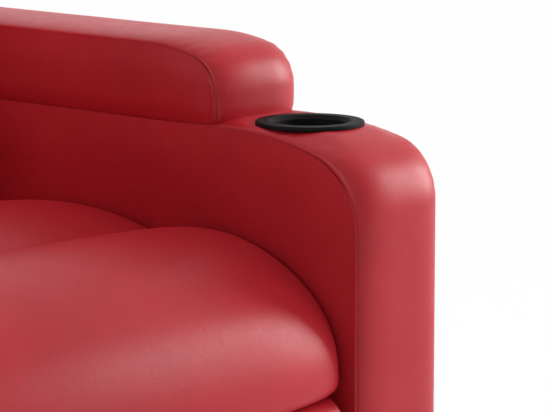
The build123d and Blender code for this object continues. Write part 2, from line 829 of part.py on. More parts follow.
# Back cushion between two heights, with pockets for the motor housings
def back_cushion(half_width, low, high, motor_x, motor_z):
    places = crown_places(0, half_width, back_cushion_end_draw)
    with BuildPart() as cushion:
        loft([puff_section(x, drop, low, high) for x, drop in places])
        if motor_x:
            with BuildSketch(Plane.XZ.offset(-panel_front_y)):
                with Locations((-motor_x, motor_z), (motor_x, motor_z)):
                    Circle(motor_housing_radius + cloth_gap)
            extrude(amount=motor_housing_depth + cloth_gap, mode=Mode.SUBTRACT)
    return cushion.part


low_half = back_low_half_width + cover_wall - 4
high_half = back_high_half_width + cover_wall
save(
    leaned(back_cushion(low_half, back_cushion_bottom_z, shoulder_z - 1, lumbar_motor_x, lumbar_motor_z)),
    "lumbar_cushion",
)
save(
    leaned(back_cushion(high_half, shoulder_z + 1, middle_cushion_top_z - 1, upper_motor_x, upper_motor_z)),
    "middle_cushion",
)
save(leaned(back_cushion(high_half, middle_cushion_top_z + 1, back_top_z, 0, 0)), "head_cushion")


# Vibration motor: housing cup on the panel, motor can on a saddle, weight with its shaft
def motor_housing(x, z):
    with BuildPart() as housing:
        with BuildSketch(Plane.XZ.offset(-panel_front_y)):
            with Locations((x, z)):
                Circle(motor_housing_radius)
        extrude(amount=motor_housing_depth)
        with BuildSketch(Plane.XZ.offset(-panel_front_y)):
            with Locations((x, z)):
                Circle(motor_housing_radius - motor_housing_wall)
        extrude(amount=motor_housing_depth - motor_housing_wall, mode=Mode.SUBTRACT)
    return housing.part


motor_axis_y = panel_front_y - motor_axis_depth


def motor_can(x, z):
    start = x - 8 - motor_length / 2
    with BuildPart() as can:
        add(block(
            (start + 2, motor_axis_y, z - 9), (start + motor_length - 2, panel_front_y, z + 9)
        ))
        add(bar(start, start + motor_length, motor_axis_y, z, motor_radius))
        add(
            bar(start + 8, start + motor_length, motor_axis_y, z, shaft_radius + running_gap),
            mode=Mode.SUBTRACT,
        )
    return can.part


def eccentric_weight(x, z):
    can_end = x - 8 + motor_length / 2
    with BuildPart() as weight:
        with BuildSketch(Plane.YZ.offset(can_end + 2)):
            with BuildLine():
                CenterArc((motor_axis_y, z), weight_radius, 180, 180)
                Line((motor_axis_y + weight_radius, z), (motor_axis_y - weight_radius, z))
            make_face()
            with Locations((motor_axis_y, z)):
                Circle(4)
        extrude(amount=weight_thickness)
        add(bar(can_end - motor_length + 9, can_end + 2 + weight_thickness, motor_axis_y, z, shaft_radius))
    return weight.part


motor_places = (
    ("lumbar_left", lumbar_motor_x, lumbar_motor_z),
    ("lumbar_right", -lumbar_motor_x, lumbar_motor_z),
    ("upper_left", upper_motor_x, upper_motor_z),
    ("upper_right", -upper_motor_x, upper_motor_z),
)
with BuildPart() as motor_housings:
    for place, motor_x, motor_z in motor_places:
        add(motor_housing(motor_x, motor_z))
save(leaned(motor_housings.part), "motor_housings")
with BuildPart() as vibration_motors:
    for place, motor_x, motor_z in motor_places:
        add(motor_can(motor_x, motor_z))
save(leaned(vibration_motors.part), "vibration_motors")
for place, motor_x, motor_z in motor_places:
    save(leaned(eccentric_weight(motor_x, motor_z)), place + "_weight")
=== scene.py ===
import json
from math import atan2, cos, degrees, hypot, pi, radians, sin, sqrt

import bmesh
import bpy
from mathutils import Matrix, Vector, noise

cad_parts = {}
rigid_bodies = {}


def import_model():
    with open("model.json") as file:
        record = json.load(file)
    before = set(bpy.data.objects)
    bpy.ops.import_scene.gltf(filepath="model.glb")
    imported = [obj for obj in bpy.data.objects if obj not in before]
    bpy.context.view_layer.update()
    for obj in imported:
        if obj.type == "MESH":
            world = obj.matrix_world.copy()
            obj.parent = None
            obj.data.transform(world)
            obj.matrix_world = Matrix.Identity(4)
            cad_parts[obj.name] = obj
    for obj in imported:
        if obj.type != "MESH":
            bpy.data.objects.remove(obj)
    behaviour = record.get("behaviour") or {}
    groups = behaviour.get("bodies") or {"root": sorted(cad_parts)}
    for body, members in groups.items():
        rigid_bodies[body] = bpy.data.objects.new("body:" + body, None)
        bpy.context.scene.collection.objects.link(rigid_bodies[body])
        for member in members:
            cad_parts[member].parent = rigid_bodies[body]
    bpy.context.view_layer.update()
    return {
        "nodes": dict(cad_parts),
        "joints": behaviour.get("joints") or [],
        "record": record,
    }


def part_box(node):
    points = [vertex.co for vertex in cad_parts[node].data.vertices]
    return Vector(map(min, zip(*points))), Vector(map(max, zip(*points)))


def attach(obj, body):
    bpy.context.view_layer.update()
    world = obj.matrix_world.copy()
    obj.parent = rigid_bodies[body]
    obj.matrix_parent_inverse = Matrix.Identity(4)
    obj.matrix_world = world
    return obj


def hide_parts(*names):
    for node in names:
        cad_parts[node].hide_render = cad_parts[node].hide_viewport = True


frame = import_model()
scene = bpy.context.scene
print("frame loaded:", len(frame["nodes"]), "nodes")


def startMaterial(name):
    mat = bpy.data.materials.new(name)
    mat.use_nodes = True
    return mat, mat.node_tree.nodes, mat.node_tree.links, mat.node_tree.nodes["Principled BSDF"]


def addNode(nodes, kind, **sockets):
    node = nodes.new(kind)
    for key, value in sockets.items():
        node.inputs[key].default_value = value
    return node


def twoToneRamp(nodes, dark, light, low=0.35, high=0.65):
    ramp = nodes.new("ShaderNodeValToRGB")
    ramp.color_ramp.elements[0].position = low
    ramp.color_ramp.elements[0].color = (*dark, 1)
    ramp.color_ramp.elements[1].position = high
    ramp.color_ramp.elements[1].color = (*light, 1)
    return ramp


leather = {
    "dark": (0.43, 0.014, 0.023),
    "light": (0.51, 0.020, 0.031),
    "cloudScale": 5.5,  # slow change of tone
    "grainScale": 620,  # pebbles per metre
    "creaseScale": 90,
    "grainShare": 0.55,  # pebbles against creases
    "grainDepth": 0.00056,
    "bump": 0.22,
    "roughLow": 0.37,
    "roughHigh": 0.45,
    "gloss": 0.32,
}


def makeLeather(name, look):
    mat, nodes, links, shader = startMaterial(name)
    coord = nodes.new("ShaderNodeTexCoord")
    cloud = addNode(nodes, "ShaderNodeTexNoise", Scale=look["cloudScale"], Detail=4, Roughness=0.55)
    pebble = addNode(nodes, "ShaderNodeTexVoronoi", Scale=look["grainScale"], Randomness=0.9)
    pebble.feature = "SMOOTH_F1"
    crease = addNode(nodes, "ShaderNodeTexNoise", Scale=look["creaseScale"], Detail=5, Roughness=0.6)
    for texture in (cloud, pebble, crease):
        links.new(coord.outputs["Object"], texture.inputs["Vector"])
    tone = twoToneRamp(nodes, look["dark"], look["light"])
    links.new(cloud.outputs["Fac"], tone.inputs["Fac"])
    links.new(tone.outputs["Color"], shader.inputs["Base Color"])
    rough = nodes.new("ShaderNodeMapRange")
    rough.inputs["From Min"].default_value = 0.3
    rough.inputs["From Max"].default_value = 0.7
    rough.inputs["To Min"].default_value = look["roughLow"]
    rough.inputs["To Max"].default_value = look["roughHigh"]
    links.new(crease.outputs["Fac"], rough.inputs["Value"])
    links.new(rough.outputs["Result"], shader.inputs["Roughness"])
    height = nodes.new("ShaderNodeMath")
    height.operation = "MULTIPLY_ADD"
    height.inputs[1].default_value = look["grainShare"]
    links.new(pebble.outputs["Distance"], height.inputs[0])
    links.new(crease.outputs["Fac"], height.inputs[2])
    bump = addNode(nodes, "ShaderNodeBump", Strength=look["bump"], Distance=look["grainDepth"])
    links.new(height.outputs["Value"], bump.inputs["Height"])
    links.new(bump.outputs["Normal"], shader.inputs["Normal"])
    shader.inputs["Specular IOR Level"].default_value = look["gloss"]
    return mat


speckle = {"roughSpread": 0.06, "bump": 0.3}


def makeSpeckled(name, dark, light, scale, rough, metallic=0.0, bumpDepth=0.0001, gloss=0.5):
    mat, nodes, links, shader = startMaterial(name)
    coord = nodes.new("ShaderNodeTexCoord")
    speck = addNode(nodes, "ShaderNodeTexNoise", Scale=scale, Detail=3, Roughness=0.6)
    links.new(coord.outputs["Object"], speck.inputs["Vector"])
    tone = twoToneRamp(nodes, dark, light)
    links.new(speck.outputs["Fac"], tone.inputs["Fac"])
    links.new(tone.outputs["Color"], shader.inputs["Base Color"])
    spread = nodes.new("ShaderNodeMapRange")
    spread.inputs["To Min"].default_value = rough - speckle["roughSpread"]
    spread.inputs["To Max"].default_value = rough + speckle["roughSpread"]
    links.new(speck.outputs["Fac"], spread.inputs["Value"])
    links.new(spread.outputs["Result"], shader.inputs["Roughness"])
    bump = addNode(nodes, "ShaderNodeBump", Strength=speckle["bump"], Distance=bumpDepth)
    links.new(speck.outputs["Fac"], bump.inputs["Height"])
    links.new(bump.outputs["Normal"], shader.inputs["Normal"])
    shader.inputs["Metallic"].default_value = metallic
    shader.inputs["Specular IOR Level"].default_value = gloss
    return mat


wood = {
    "dark": (0.40, 0.26, 0.14), "light": (0.58, 0.41, 0.24), "rough": 0.6,
    "grainScale": 55, "stretch": (1.0, 0.12, 1.0),  # the grain runs front to back
    "bump": 0.25, "grainDepth": 0.0004,
}


def makeWood(name, look):
    mat, nodes, links, shader = startMaterial(name)
    coord = nodes.new("ShaderNodeTexCoord")
    stretch = addNode(nodes, "ShaderNodeMapping", Scale=look["stretch"])
    ring = addNode(nodes, "ShaderNodeTexNoise", Scale=look["grainScale"], Detail=6, Roughness=0.65)
    ring.inputs["Distortion"].default_value = 0.8
    links.new(coord.outputs["Object"], stretch.inputs["Vector"])
    links.new(stretch.outputs["Vector"], ring.inputs["Vector"])
    tone = twoToneRamp(nodes, look["dark"], look["light"], 0.3, 0.7)
    links.new(ring.outputs["Fac"], tone.inputs["Fac"])
    links.new(tone.outputs["Color"], shader.inputs["Base Color"])
    bump = addNode(nodes, "ShaderNodeBump", Strength=look["bump"], Distance=look["grainDepth"])
    links.new(ring.outputs["Fac"], bump.inputs["Height"])
    links.new(bump.outputs["Normal"], shader.inputs["Normal"])
    shader.inputs["Roughness"].default_value = look["rough"]
    return mat


webbing = {
    "dark": (0.02, 0.02, 0.022), "light": (0.07, 0.07, 0.075), "rough": 0.85,
    "ribScale": 180, "bump": 0.5, "ribDepth": 0.0006,
}


def makeWebbing(name, look):
    mat, nodes, links, shader = startMaterial(name)
    coord = nodes.new("ShaderNodeTexCoord")
    rib = addNode(nodes, "ShaderNodeTexWave", Scale=look["ribScale"], Distortion=0.6, Detail=1)
    links.new(coord.outputs["Object"], rib.inputs["Vector"])
    tone = twoToneRamp(nodes, look["dark"], look["light"], 0.2, 0.8)
    links.new(rib.outputs["Fac"], tone.inputs["Fac"])
    links.new(tone.outputs["Color"], shader.inputs["Base Color"])
    bump = addNode(nodes, "ShaderNodeBump", Strength=look["bump"], Distance=look["ribDepth"])
    links.new(rib.outputs["Fac"], bump.inputs["Height"])
    links.new(bump.outputs["Normal"], shader.inputs["Normal"])
    shader.inputs["Roughness"].default_value = look["rough"]
    return mat


redLeather = makeLeather("redLeather", leather)
finishes = {
    "cup_plastic": makeSpeckled("cupPlastic", (0.0028, 0.0031, 0.0029), (0.0050, 0.0056, 0.0052),
                                scale=900, rough=0.62, gloss=0.1),
    "black_plastic": makeSpeckled("blackPlastic", (0.014, 0.014, 0.015), (0.024, 0.024, 0.025),
                                  scale=1400, rough=0.55),
    "frame_wood": makeWood("frameWood", wood),
    "hardboard": makeSpeckled("hardboard", (0.016, 0.014, 0.013), (0.035, 0.031, 0.028),
                              scale=700, rough=0.75, bumpDepth=0.0003),
    "black_steel": makeSpeckled("blackSteel", (0.016, 0.016, 0.018), (0.026, 0.026, 0.028),
                                scale=260, rough=0.42, metallic=0.4),
    "zinc_steel": makeSpeckled("zincSteel", (0.44, 0.45, 0.46), (0.60, 0.61, 0.62),
                               scale=340, rough=0.34, metallic=1.0),
    "weight_brass": makeSpeckled("weightBrass", (0.46, 0.32, 0.11), (0.60, 0.44, 0.18),
                                 scale=300, rough=0.36, metallic=1.0),
    "webbing": makeWebbing("webbing", webbing),
    "red_upholstery": redLeather,
}
for entry in frame["record"]["subparts"]:
    nodeObject = bpy.data.objects[entry["node"]]
    nodeObject.data.materials.clear()
    nodeObject.data.materials.append(finishes[entry["material_slot"]])
for wrappedBoard in ("back_panel", "rear_panel"):  # boards that the cover goes round
    bpy.data.objects[wrappedBoard].data.materials[0] = redLeather
print("finishes made:", len(finishes))


coverMesh = {"weld": 0.00003, "sharpFrom": 38}  # metres, degrees


def meshPiece(name, verts, faces, body, replaced):
    mesh = bpy.data.meshes.new(name)
    mesh.from_pydata([tuple(v) for v in verts], [], faces)
    mesh.validate()
    form = bmesh.new()
    form.from_mesh(mesh)
    bmesh.ops.remove_doubles(form, verts=form.verts, dist=coverMesh["weld"])
    bmesh.ops.recalc_face_normals(form, faces=form.faces)
    form.to_mesh(mesh)
    form.free()
    mesh.polygons.foreach_set("use_smooth", [True] * len(mesh.polygons))
    mesh.set_sharp_from_angle(angle=radians(coverMesh["sharpFrom"]))
    mesh.materials.append(redLeather)
    piece = bpy.data.objects.new(name, mesh)
    scene.collection.objects.link(piece)
    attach(piece, body)
    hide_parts(replaced)
    return piece


def gridFaces(rows, columns, closed=False):
    faces = []
    for r in range(rows - 1):
        here, above = r * columns, (r + 1) * columns
        for c in range(columns if closed else columns - 1):
            d = (c + 1) % columns
            faces.append((here + c, here + d, above + d, above + c))
    return faces


def arcPoints(centre, radius, startAngle, endAngle, step):
    count = max(3, int(abs(radians(endAngle - startAngle)) * radius / step) + 1)
    points = []
    for i in range(count + 1):
        a = radians(startAngle + (endAngle - startAngle) * i / count)
        points.append((centre[0] + radius * cos(a), centre[1] + radius * sin(a)))
    return points


def linePoints(start, end, step):
    count = max(1, int(hypot(end[0] - start[0], end[1] - start[1]) / step))
    return [(start[0] + (end[0] - start[0]) * i / count, start[1] + (end[1] - start[1]) * i / count)
            for i in range(count + 1)]


def joinRuns(*runs):  # leaves out the doubled point where two runs meet
    path = []
    for run in runs:
        for point in run:
            if not path or hypot(point[0] - path[-1][0], point[1] - path[-1][1]) > 1e-5:
                path.append(point)
    return path


def pathLengths(path):
    lengths = [0.0]
    for a, b in zip(path, path[1:]):
        lengths.append(lengths[-1] + hypot(b[0] - a[0], b[1] - a[1]))
    return lengths


def evenPath(path, count):
    lengths = pathLengths(path)
    even, k = [], 0
    for i in range(count):
        run = lengths[-1] * i / (count - 1)
        while k < len(path) - 2 and lengths[k + 1] < run:
            k += 1
        share = (run - lengths[k]) / (lengths[k + 1] - lengths[k])
        even.append((path[k][0] + (path[k + 1][0] - path[k][0]) * share,
                     path[k][1] + (path[k + 1][1] - path[k][1]) * share))
    return even


def easedPath(path, passes, keep=2):  # the ends stay where they are
    for _ in range(passes):
        path = path[:keep] + [
            ((a[0] + 2 * b[0] + c[0]) / 4, (a[1] + 2 * b[1] + c[1]) / 4)
            for a, b, c in zip(path[keep - 1:], path[keep:], path[keep + 1:])
        ][:len(path) - 2 * keep] + path[-keep:]
    return path


def pathNormals(path):
    normals = []
    for i in range(len(path)):
        a = path[max(0, i - 1)]
        b = path[min(len(path) - 1, i + 1)]
        length = hypot(b[0] - a[0], b[1] - a[1])
        normals.append((-(b[1] - a[1]) / length, (b[0] - a[0]) / length))  # left of travel: outward
    return normals


def crownSteps(count, fullness):  # reach from -1 to 1 across, and how far the edge is drawn down there
    steps = []
    for i in range(count):
        a = radians(-90 + 180 * i / (count - 1))
        steps.append(((1 if a >= 0 else -1) * abs(sin(a)) ** fullness, 1 - cos(a)))
    return steps


def softNoise(point, scale, seed=0.0):
    x, y, z = (c * scale for c in point)
    return noise.noise(Vector((x + seed, y - seed, z + 2 * seed)))


def smoothShare(t):
    t = min(1.0, max(0.0, t))
    return t * t * (3 - 2 * t)


def tubeAlong(points, radius, side=Vector((1, 0, 0)), sides=10):
    verts = []
    for i, p in enumerate(points):
        a = Vector(points[max(0, i - 1)])
        b = Vector(points[min(len(points) - 1, i + 1)])
        forward = (b - a).normalized()
        up = forward.cross(side).normalized()
        for k in range(sides):
            t = 2 * pi * k / sides
            verts.append(Vector(p) + side * cos(t) * radius + up * sin(t) * radius)
    faces = gridFaces(len(points), sides, closed=True)
    faces.append(tuple(range(sides - 1, -1, -1)))
    faces.append(tuple(range(len(verts) - sides, len(verts))))
    return verts, faces


def appendPart(verts, faces, moreVerts, moreFaces):
    start = len(verts)
    verts.extend(moreVerts)
    faces.extend(tuple(i + start for i in f) for f in moreFaces)


def turnedFaces(faces):
    return [tuple(reversed(f)) for f in faces]


def mirrored(verts, faces):
    return [Vector((-v[0], v[1], v[2])) for v in verts], turnedFaces(faces)


armLook = {
    "crest": (0.065, 0.433, 15.6),  # radius of the nose, radius of the sweep, angle where they meet
    "seamIn": (0.077, 0.358, 17.0), "seamOut": (0.055, 0.421, 13.1),
    "insetIn": (0.0111, 0.0084), "insetOut": (0.0154, 0.0053),  # seams' set-back at the front and the top
    "heel": 0.040, "fullness": 0.60, "across": 45, "rows": (48, 24, 22, 46, 14, 48), "step": 0.004,
    "sinkIn": 0.0042, "sinkOut": 0.0012,  # how far the seams lie behind the panels' flats
    "panelRise": 0.045, "groove": 0.0030, "weltRadius": 0.0034, "weltSink": 0.0026,
    "pucker": 0.00035, "puckerPitch": 0.017, "rippleDepth": 0.0006, "rippleScale": 9,
    "tuck": 0.0, "bulge": 0.0, "fill": 0.9,
}
padLook = {
    "crest": (0.046, 0.220, 15), "seamIn": (0.0402, 0.261, 14.6), "seamOut": (0.038, 0.267, 12.2),
    "insetIn": (0.0110, 0.0092), "insetOut": (0.0177, 0.0123),
    "heel": 0.030, "fullness": 0.70, "across": 41, "rows": (14, 20, 16, 46, 12, 14), "step": 0.004,
    "sinkIn": 0.0036, "sinkOut": 0.0012,
    "panelRise": 0.030, "groove": 0.0045, "weltRadius": 0.0042, "weltSink": 0.0033,
    "pucker": 0.0004, "puckerPitch": 0.015, "rippleDepth": 0.0007, "rippleScale": 11,
    "tuck": 0.0120, "tuckHeight": 0.026, "tuckFront": 0.08,  # drawn in above the arm
    "bulge": 0.0030, "press": 0.005, "fill": 0.9,
}
sewnLook = {  # what the arms and their pads have in common
    "gatherFrom": 0.72, "gatherSlant": 3, "gatherElsewhere": 0.2,
    "weltTop": 0.97, "weltFade": 0.0026, "fadeFrom": 0.35, "fadeSpan": 0.5, "weltIn": 0.4,
    "panelRings": 20, "panelStart": 0.002, "closingStep": 0.02, "bulgeEnds": 0.07,
    "panelRipple": 0.6, "panelRippleScale": 0.7,  # shares of the band's ripple
}
cupLook = {  # the arm's top round the rim of the cup holder
    "clear": 0.0008, "lap": 0.006, "seat": 0.0043, "depth": 0.05,
    "press": 0.010, "swell": 0.045, "rise": 0.0055,
}


def nosedPath(front, rear, bottom, top, curve, look):
    nose, sweep, angle = curve
    a, heel, step = radians(angle), look["heel"], look["step"]
    drop = nose * cos(a) + sweep * (1 - cos(a))
    crestY = front + nose + (sweep - nose) * sin(a)
    runs = (
        linePoints((front, bottom), (front, top - drop), step),
        arcPoints((front + nose, top - drop), nose, 180, 90 + angle, step),
        arcPoints((crestY, top - sweep), sweep, 90 + angle, 90, step),
        linePoints((crestY, top), (rear - heel, top), step),
        arcPoints((rear - heel, top - heel), heel, 90, 0, step),
        linePoints((rear, top - heel), (rear, bottom), step),
    )
    path = []
    for run, count in zip(runs, look["rows"]):
        path += evenPath(run, count)[1 if path else 0:]
    return path


def gatherDepth(reach, run, facing, look):
    ny, nz = facing
    side = max(0.0, abs(reach) - sewnLook["gatherFrom"]) / (1 - sewnLook["gatherFrom"])
    side *= 4 * (1 - side) if side > 0.5 else 1
    bend = 1 if nz > 0.1 and ny < -0.1 else sewnLook["gatherElsewhere"]  # gathers sit round the nose
    phase = 2 * pi * run / look["puckerPitch"] + sewnLook["gatherSlant"] * reach
    return look["pucker"] * side * bend * sin(phase)


def bandedForm(box, look, hole=None):
    low, high = Vector(box[0]), Vector(box[1])

    def profile(name, inset):
        return nosedPath(low.y + inset[0], high.y - inset[0], low.z, high.z - inset[1], look[name], look)

    path = profile("crest", (0, 0))
    edgeIn, edgeOut = profile("seamIn", look["insetIn"]), profile("seamOut", look["insetOut"])
    normals, lengths = pathNormals(path), pathLengths(path)
    seamIn, seamOut = low.x + look["sinkIn"], high.x - look["sinkOut"]
    middle, half = (seamIn + seamOut) / 2, (seamOut - seamIn) / 2
    columns = look["across"]
    steps = crownSteps(columns, look["fullness"])
    verts, faces, seams = [], [], {0: [], columns - 1: []}
    for r, (facing, run) in enumerate(zip(normals, lengths)):
        for c, (reach, share) in enumerate(steps):
            edge = edgeIn[r] if reach < 0 else edgeOut[r]
            x = middle + half * reach
            y, z = (p + (q - p) * share for p, q in zip(path[r], edge))
            if c in seams:
                seams[c].append(Vector((x, y, z)))
            drop = gatherDepth(reach, run, facing, look)
            drop -= look["rippleDepth"] * softNoise((x, y, z), look["rippleScale"]) * (1 - abs(reach) ** 4)
            drop += look["groove"] if c in seams else 0
            point = Vector((x, y - facing[0] * drop, z - facing[1] * drop))
            verts.append(holePoint(point, reach, hole) if hole else point)
    for face in gridFaces(len(path), columns):
        if not hole or not overHole(face, verts, hole):
            faces.append(face)
    for column, sign, sink in ((0, -1, look["sinkIn"]), (columns - 1, 1, look["sinkOut"])):
        sunk = [verts[r * columns + column] for r in range(len(path))]
        appendPart(verts, faces, *sidePanel(sunk, seams[column], sign, sink, look))
        welt = weltLine(seams[column], normals, sign, low.y + look["crest"][0] * 2, look)
        appendPart(verts, faces, *tubeAlong(welt, look["weltRadius"]))
    rear = [(len(path) - 1) * columns + c for c in range(columns)]
    faces.append(tuple(range(columns)) + tuple(reversed(rear)))  # the underside
    if look["tuck"]:
        verts = [tuckedPoint(p, low, high, look) for p in verts]
    return verts, faces


def weltLine(seam, normals, sign, rearEnd, look):
    welt = []
    for p, (ny, nz) in zip(seam, normals):
        if nz < sewnLook["weltTop"] and p.y < rearEnd:
            fade = smoothShare((nz - sewnLook["fadeFrom"]) / sewnLook["fadeSpan"])
            sink = look["weltSink"] + sewnLook["weltFade"] * fade  # fades into the top's seam
            welt.append(Vector((p.x - sign * sink * sewnLook["weltIn"], p.y - ny * sink, p.z - nz * sink)))
    return welt


def tuckedPoint(p, low, high, look):
    t = max(0.0, 1 - (p.z - low.z) / look["tuckHeight"])
    middle = (low.x + high.x) / 2
    draw = look["tuck"] * (1 - sqrt(max(0.0, 1 - t * t)))
    frontShare = max(0.0, 1 - (p.y - low.y) / look["tuckFront"])
    return Vector((p.x - draw * (p.x - middle) / (high.x - middle), p.y + draw * frontShare, p.z))


def holePoint(point, reach, hole):
    away = hypot(point.x - hole["x"], point.y - hole["y"])
    if point.z < hole["floor"] or away > hole["rim"] + hole["swell"]:
        return point
    change = hole["seat"] - point.z
    if change < 0:  # pressed down under the rim
        change *= smoothShare((hole["rim"] + hole["press"] - away) / hole["press"])
    else:  # swelling up round it, but not at the seams
        share = smoothShare((hole["rim"] + hole["swell"] - away) / hole["swell"])
        change = min(change, hole["rise"]) * share * (1 - smoothShare(2 * abs(reach) - 1))
    return Vector((point.x, point.y, point.z + change))


def overHole(face, verts, hole):
    centre = sum((verts[i] for i in face), Vector()) / 4
    return centre.z > hole["floor"] and hypot(centre.x - hole["x"], centre.y - hole["y"]) < hole["cut"]


def sidePanel(seam, lip, sign, sink, look):
    rings, start, ends = sewnLook["panelRings"], sewnLook["panelStart"], sewnLook["bulgeEnds"]
    ripple = look["rippleDepth"] * sewnLook["panelRipple"]
    rippleScale = look["rippleScale"] * sewnLook["panelRippleScale"]
    first, last = lip[0], lip[-1]
    span = max(6, int((last - first).length / sewnLook["closingStep"]))
    closing = [last.lerp(first, i / span) for i in range(1, span)]
    rim = list(lip) + closing
    midZ = (min(p.z for p in rim) + max(p.z for p in rim)) / 2
    front, rear = min(p.y for p in rim), max(p.y for p in rim)
    spineReach = max(p.z for p in rim) - midZ
    spineLow, spineHigh = front + spineReach, rear - spineReach
    if spineLow > spineHigh:
        spineLow = spineHigh = (front + rear) / 2
    verts = list(seam) + closing  # the first ring lies at the bottom of the seam's groove
    for r in range(rings + 1):
        k = (r / rings) ** 2
        for p in rim:
            target = Vector((p.x, min(max(p.y, spineLow), spineHigh), midZ))
            point = p.lerp(target, start + (1 - start) * k)
            away = min((point - p).length / look["panelRise"], 1.0)
            rise = sink * (0.5 + 0.5 * sin(away * pi / 2))
            rise += ripple * softNoise(point, rippleScale, 4.0) * away
            height = (point.z - midZ) / spineReach
            full = smoothShare((point.y - front) / ends) * smoothShare((rear - point.y) / ends)
            rise = min(rise, sink) + look["bulge"] * max(0.0, 1 - height * height) * full
            verts.append(Vector((point.x + sign * rise, point.y, point.z)))
    faces = gridFaces(rings + 2, len(rim), closed=True)
    return verts, faces if sign < 0 else turnedFaces(faces)


def buildArm(side):
    def lefthand(node):  # both arms are worked out as the left one
        low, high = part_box(side + node)
        if side == "left":
            return list(low), list(high)
        return [-high[0], low[1], low[2]], [-low[0], high[1], high[2]]

    arm, pad, cup = lefthand("_arm_cover"), lefthand("_arm_pad"), lefthand("_cup_holder")
    rim = (cup[1][0] - cup[0][0]) / 2
    hole = {
        "x": (cup[0][0] + cup[1][0]) / 2, "y": (cup[0][1] + cup[1][1]) / 2,
        "rim": rim + cupLook["clear"], "cut": rim - cupLook["lap"],
        "seat": cup[1][2] - cupLook["seat"], "floor": cup[1][2] - cupLook["depth"],
        "press": cupLook["press"], "swell": cupLook["swell"], "rise": cupLook["rise"],
    }
    pad[0][2] -= padLook["press"]  # its soft edge settles into the arm
    for name, node, box, look, opening in (("ArmCover", "_arm_cover", arm, armLook, hole),
                                           ("ArmPad", "_arm_pad", pad, padLook, None)):
        verts, faces = bandedForm(box, look, opening)
        if side == "right":
            verts, faces = mirrored(verts, faces)
        piece = meshPiece(side + name, verts, faces, "base", side + node)


for armSide in ("left", "right"):
    buildArm(armSide)
print("arms covered")


def circleThrough(a, b, c):
    d = 2 * (a[0] * (b[1] - c[1]) + b[0] * (c[1] - a[1]) + c[0] * (a[1] - b[1]))
    aa, bb, cc = a[0] ** 2 + a[1] ** 2, b[0] ** 2 + b[1] ** 2, c[0] ** 2 + c[1] ** 2
    x = (aa * (b[1] - c[1]) + bb * (c[1] - a[1]) + cc * (a[1] - b[1])) / d
    y = (aa * (c[0] - b[0]) + bb * (a[0] - c[0]) + cc * (b[0] - a[0])) / d
    return (x, y), hypot(a[0] - x, a[1] - y)


def bowPoints(a, b, c, step):
    centre, radius = circleThrough(a, b, c)
    start, through, end = (degrees(atan2(p[1] - centre[1], p[0] - centre[0])) for p in (a, b, c))
    turn = (through - start) % 360
    whole = (end - start) % 360
    if turn > whole:
        whole -= 360
    return arcPoints(centre, radius, start, start + whole, step)


endRings = 7  # rings that close each end of a crowned form


def crownedForm(pathAt, half, look):
    across = look["across"]
    lowDraw, lowTop, lowSpan = look["lowDraw"]
    columns = []
    for reach, share in crownSteps(across, look["fullness"]):
        front, under = pathAt(look["endDraw"] * share)
        path = evenPath(front, look["rows"]) + evenPath(under, look["underRows"])[1:-1]
        column = []
        for (y, z), (ny, nz) in zip(path, pathNormals(path)):
            lift = look["ripple"] * softNoise((half * reach, y, z), look["rippleScale"], 7.0) * (1 - share)
            draw = lowDraw * smoothShare((lowTop - z) / lowSpan)
            column.append(Vector((half * reach * (1 - draw), y + ny * lift, z + nz * lift)))
        columns.append(column)
    rows = len(columns[0])
    verts = [column[r] for r in range(rows) for column in columns]
    faces = gridFaces(rows, across)
    lastRow = (rows - 1) * across
    faces += [(lastRow + c, lastRow + c + 1, c + 1, c) for c in range(across - 1)]
    ringFaces = gridFaces(endRings + 1, rows, closed=True)
    for column, outward in ((columns[0], turnedFaces(ringFaces)), (columns[-1], ringFaces)):
        centre = sum(column, Vector()) / rows
        ringVerts = [p.lerp(centre, r / endRings) for r in range(endRings + 1) for p in column]
        appendPart(verts, faces, ringVerts, outward)
    return verts, faces


seatLook = {
    "rollUnder": 0.344, "endRise": 0.7, "lip": 0.011, "lipStep": 0.002,
    "noseZ": 0.357, "noseStart": 176, "rollNose": 0.1246, "noseTurn": 51.5, "rollTop": 0.216,
    "rollRear": 0.160, "rearTurn": 27, "crest": 0.505, "rearEdge": 0.472, "base": 0.3945,
    "bearing": 0.078,  # depth of the roll in front of the frame
    "endDraw": 0.0138, "fullness": 0.52, "lowDraw": (0.023, 0.42, 0.073),  # share, from this height, span
    "across": 49, "rows": 120, "underRows": 14, "step": 0.005, "ease": 5,
    "ripple": 0.0014, "rippleScale": 7, "fill": 0.85,
}
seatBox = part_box("seat_cushion")


def seatPath(drop):
    look = seatLook
    front, rear = seatBox[0][1] + drop, seatBox[1][1]
    under = look["rollUnder"] + drop * look["endRise"]
    nose, top, step = look["rollNose"] - drop, look["rollTop"] - drop, look["step"]
    turn = 180 - look["noseTurn"]
    start = look["noseZ"]
    brow = (front + nose + nose * cos(radians(turn)), start + nose * sin(radians(turn)))
    topCentre = (brow[0] - top * cos(radians(turn)), brow[1] - top * sin(radians(turn)))
    crest = (topCentre[0], topCentre[1] + top)
    back = look["rollRear"] - drop
    fall = arcPoints((crest[0], crest[1] - back), back, 90, 90 - look["rearTurn"], step)
    dip = fall[-1]
    edge = (rear, look["rearEdge"] - drop)
    rise = bowPoints(dip, ((dip[0] + rear) / 2, look["crest"] - drop), edge, step)
    lip, heel = look["lip"], seatBox[0][1] + look["bearing"]
    upper = joinRuns(
        linePoints((heel, under), (front + lip, under), step),
        arcPoints((front + lip, under + lip), lip, 270, 180, look["lipStep"]),
        arcPoints((front + nose, start), nose, look["noseStart"], turn, step),
        arcPoints(topCentre, top, turn, 90, step),
        fall, rise,
        linePoints(edge, (rear, look["base"]), step),
    )
    return easedPath(upper, look["ease"]), [(rear, look["base"]), (heel, look["base"]), (heel, under)]


seatVerts, seatFaces = crownedForm(seatPath, seatBox[1][0], seatLook)
seatCover = meshPiece("seatCover", seatVerts, seatFaces, "base", "seat_cushion")
print("seat covered")


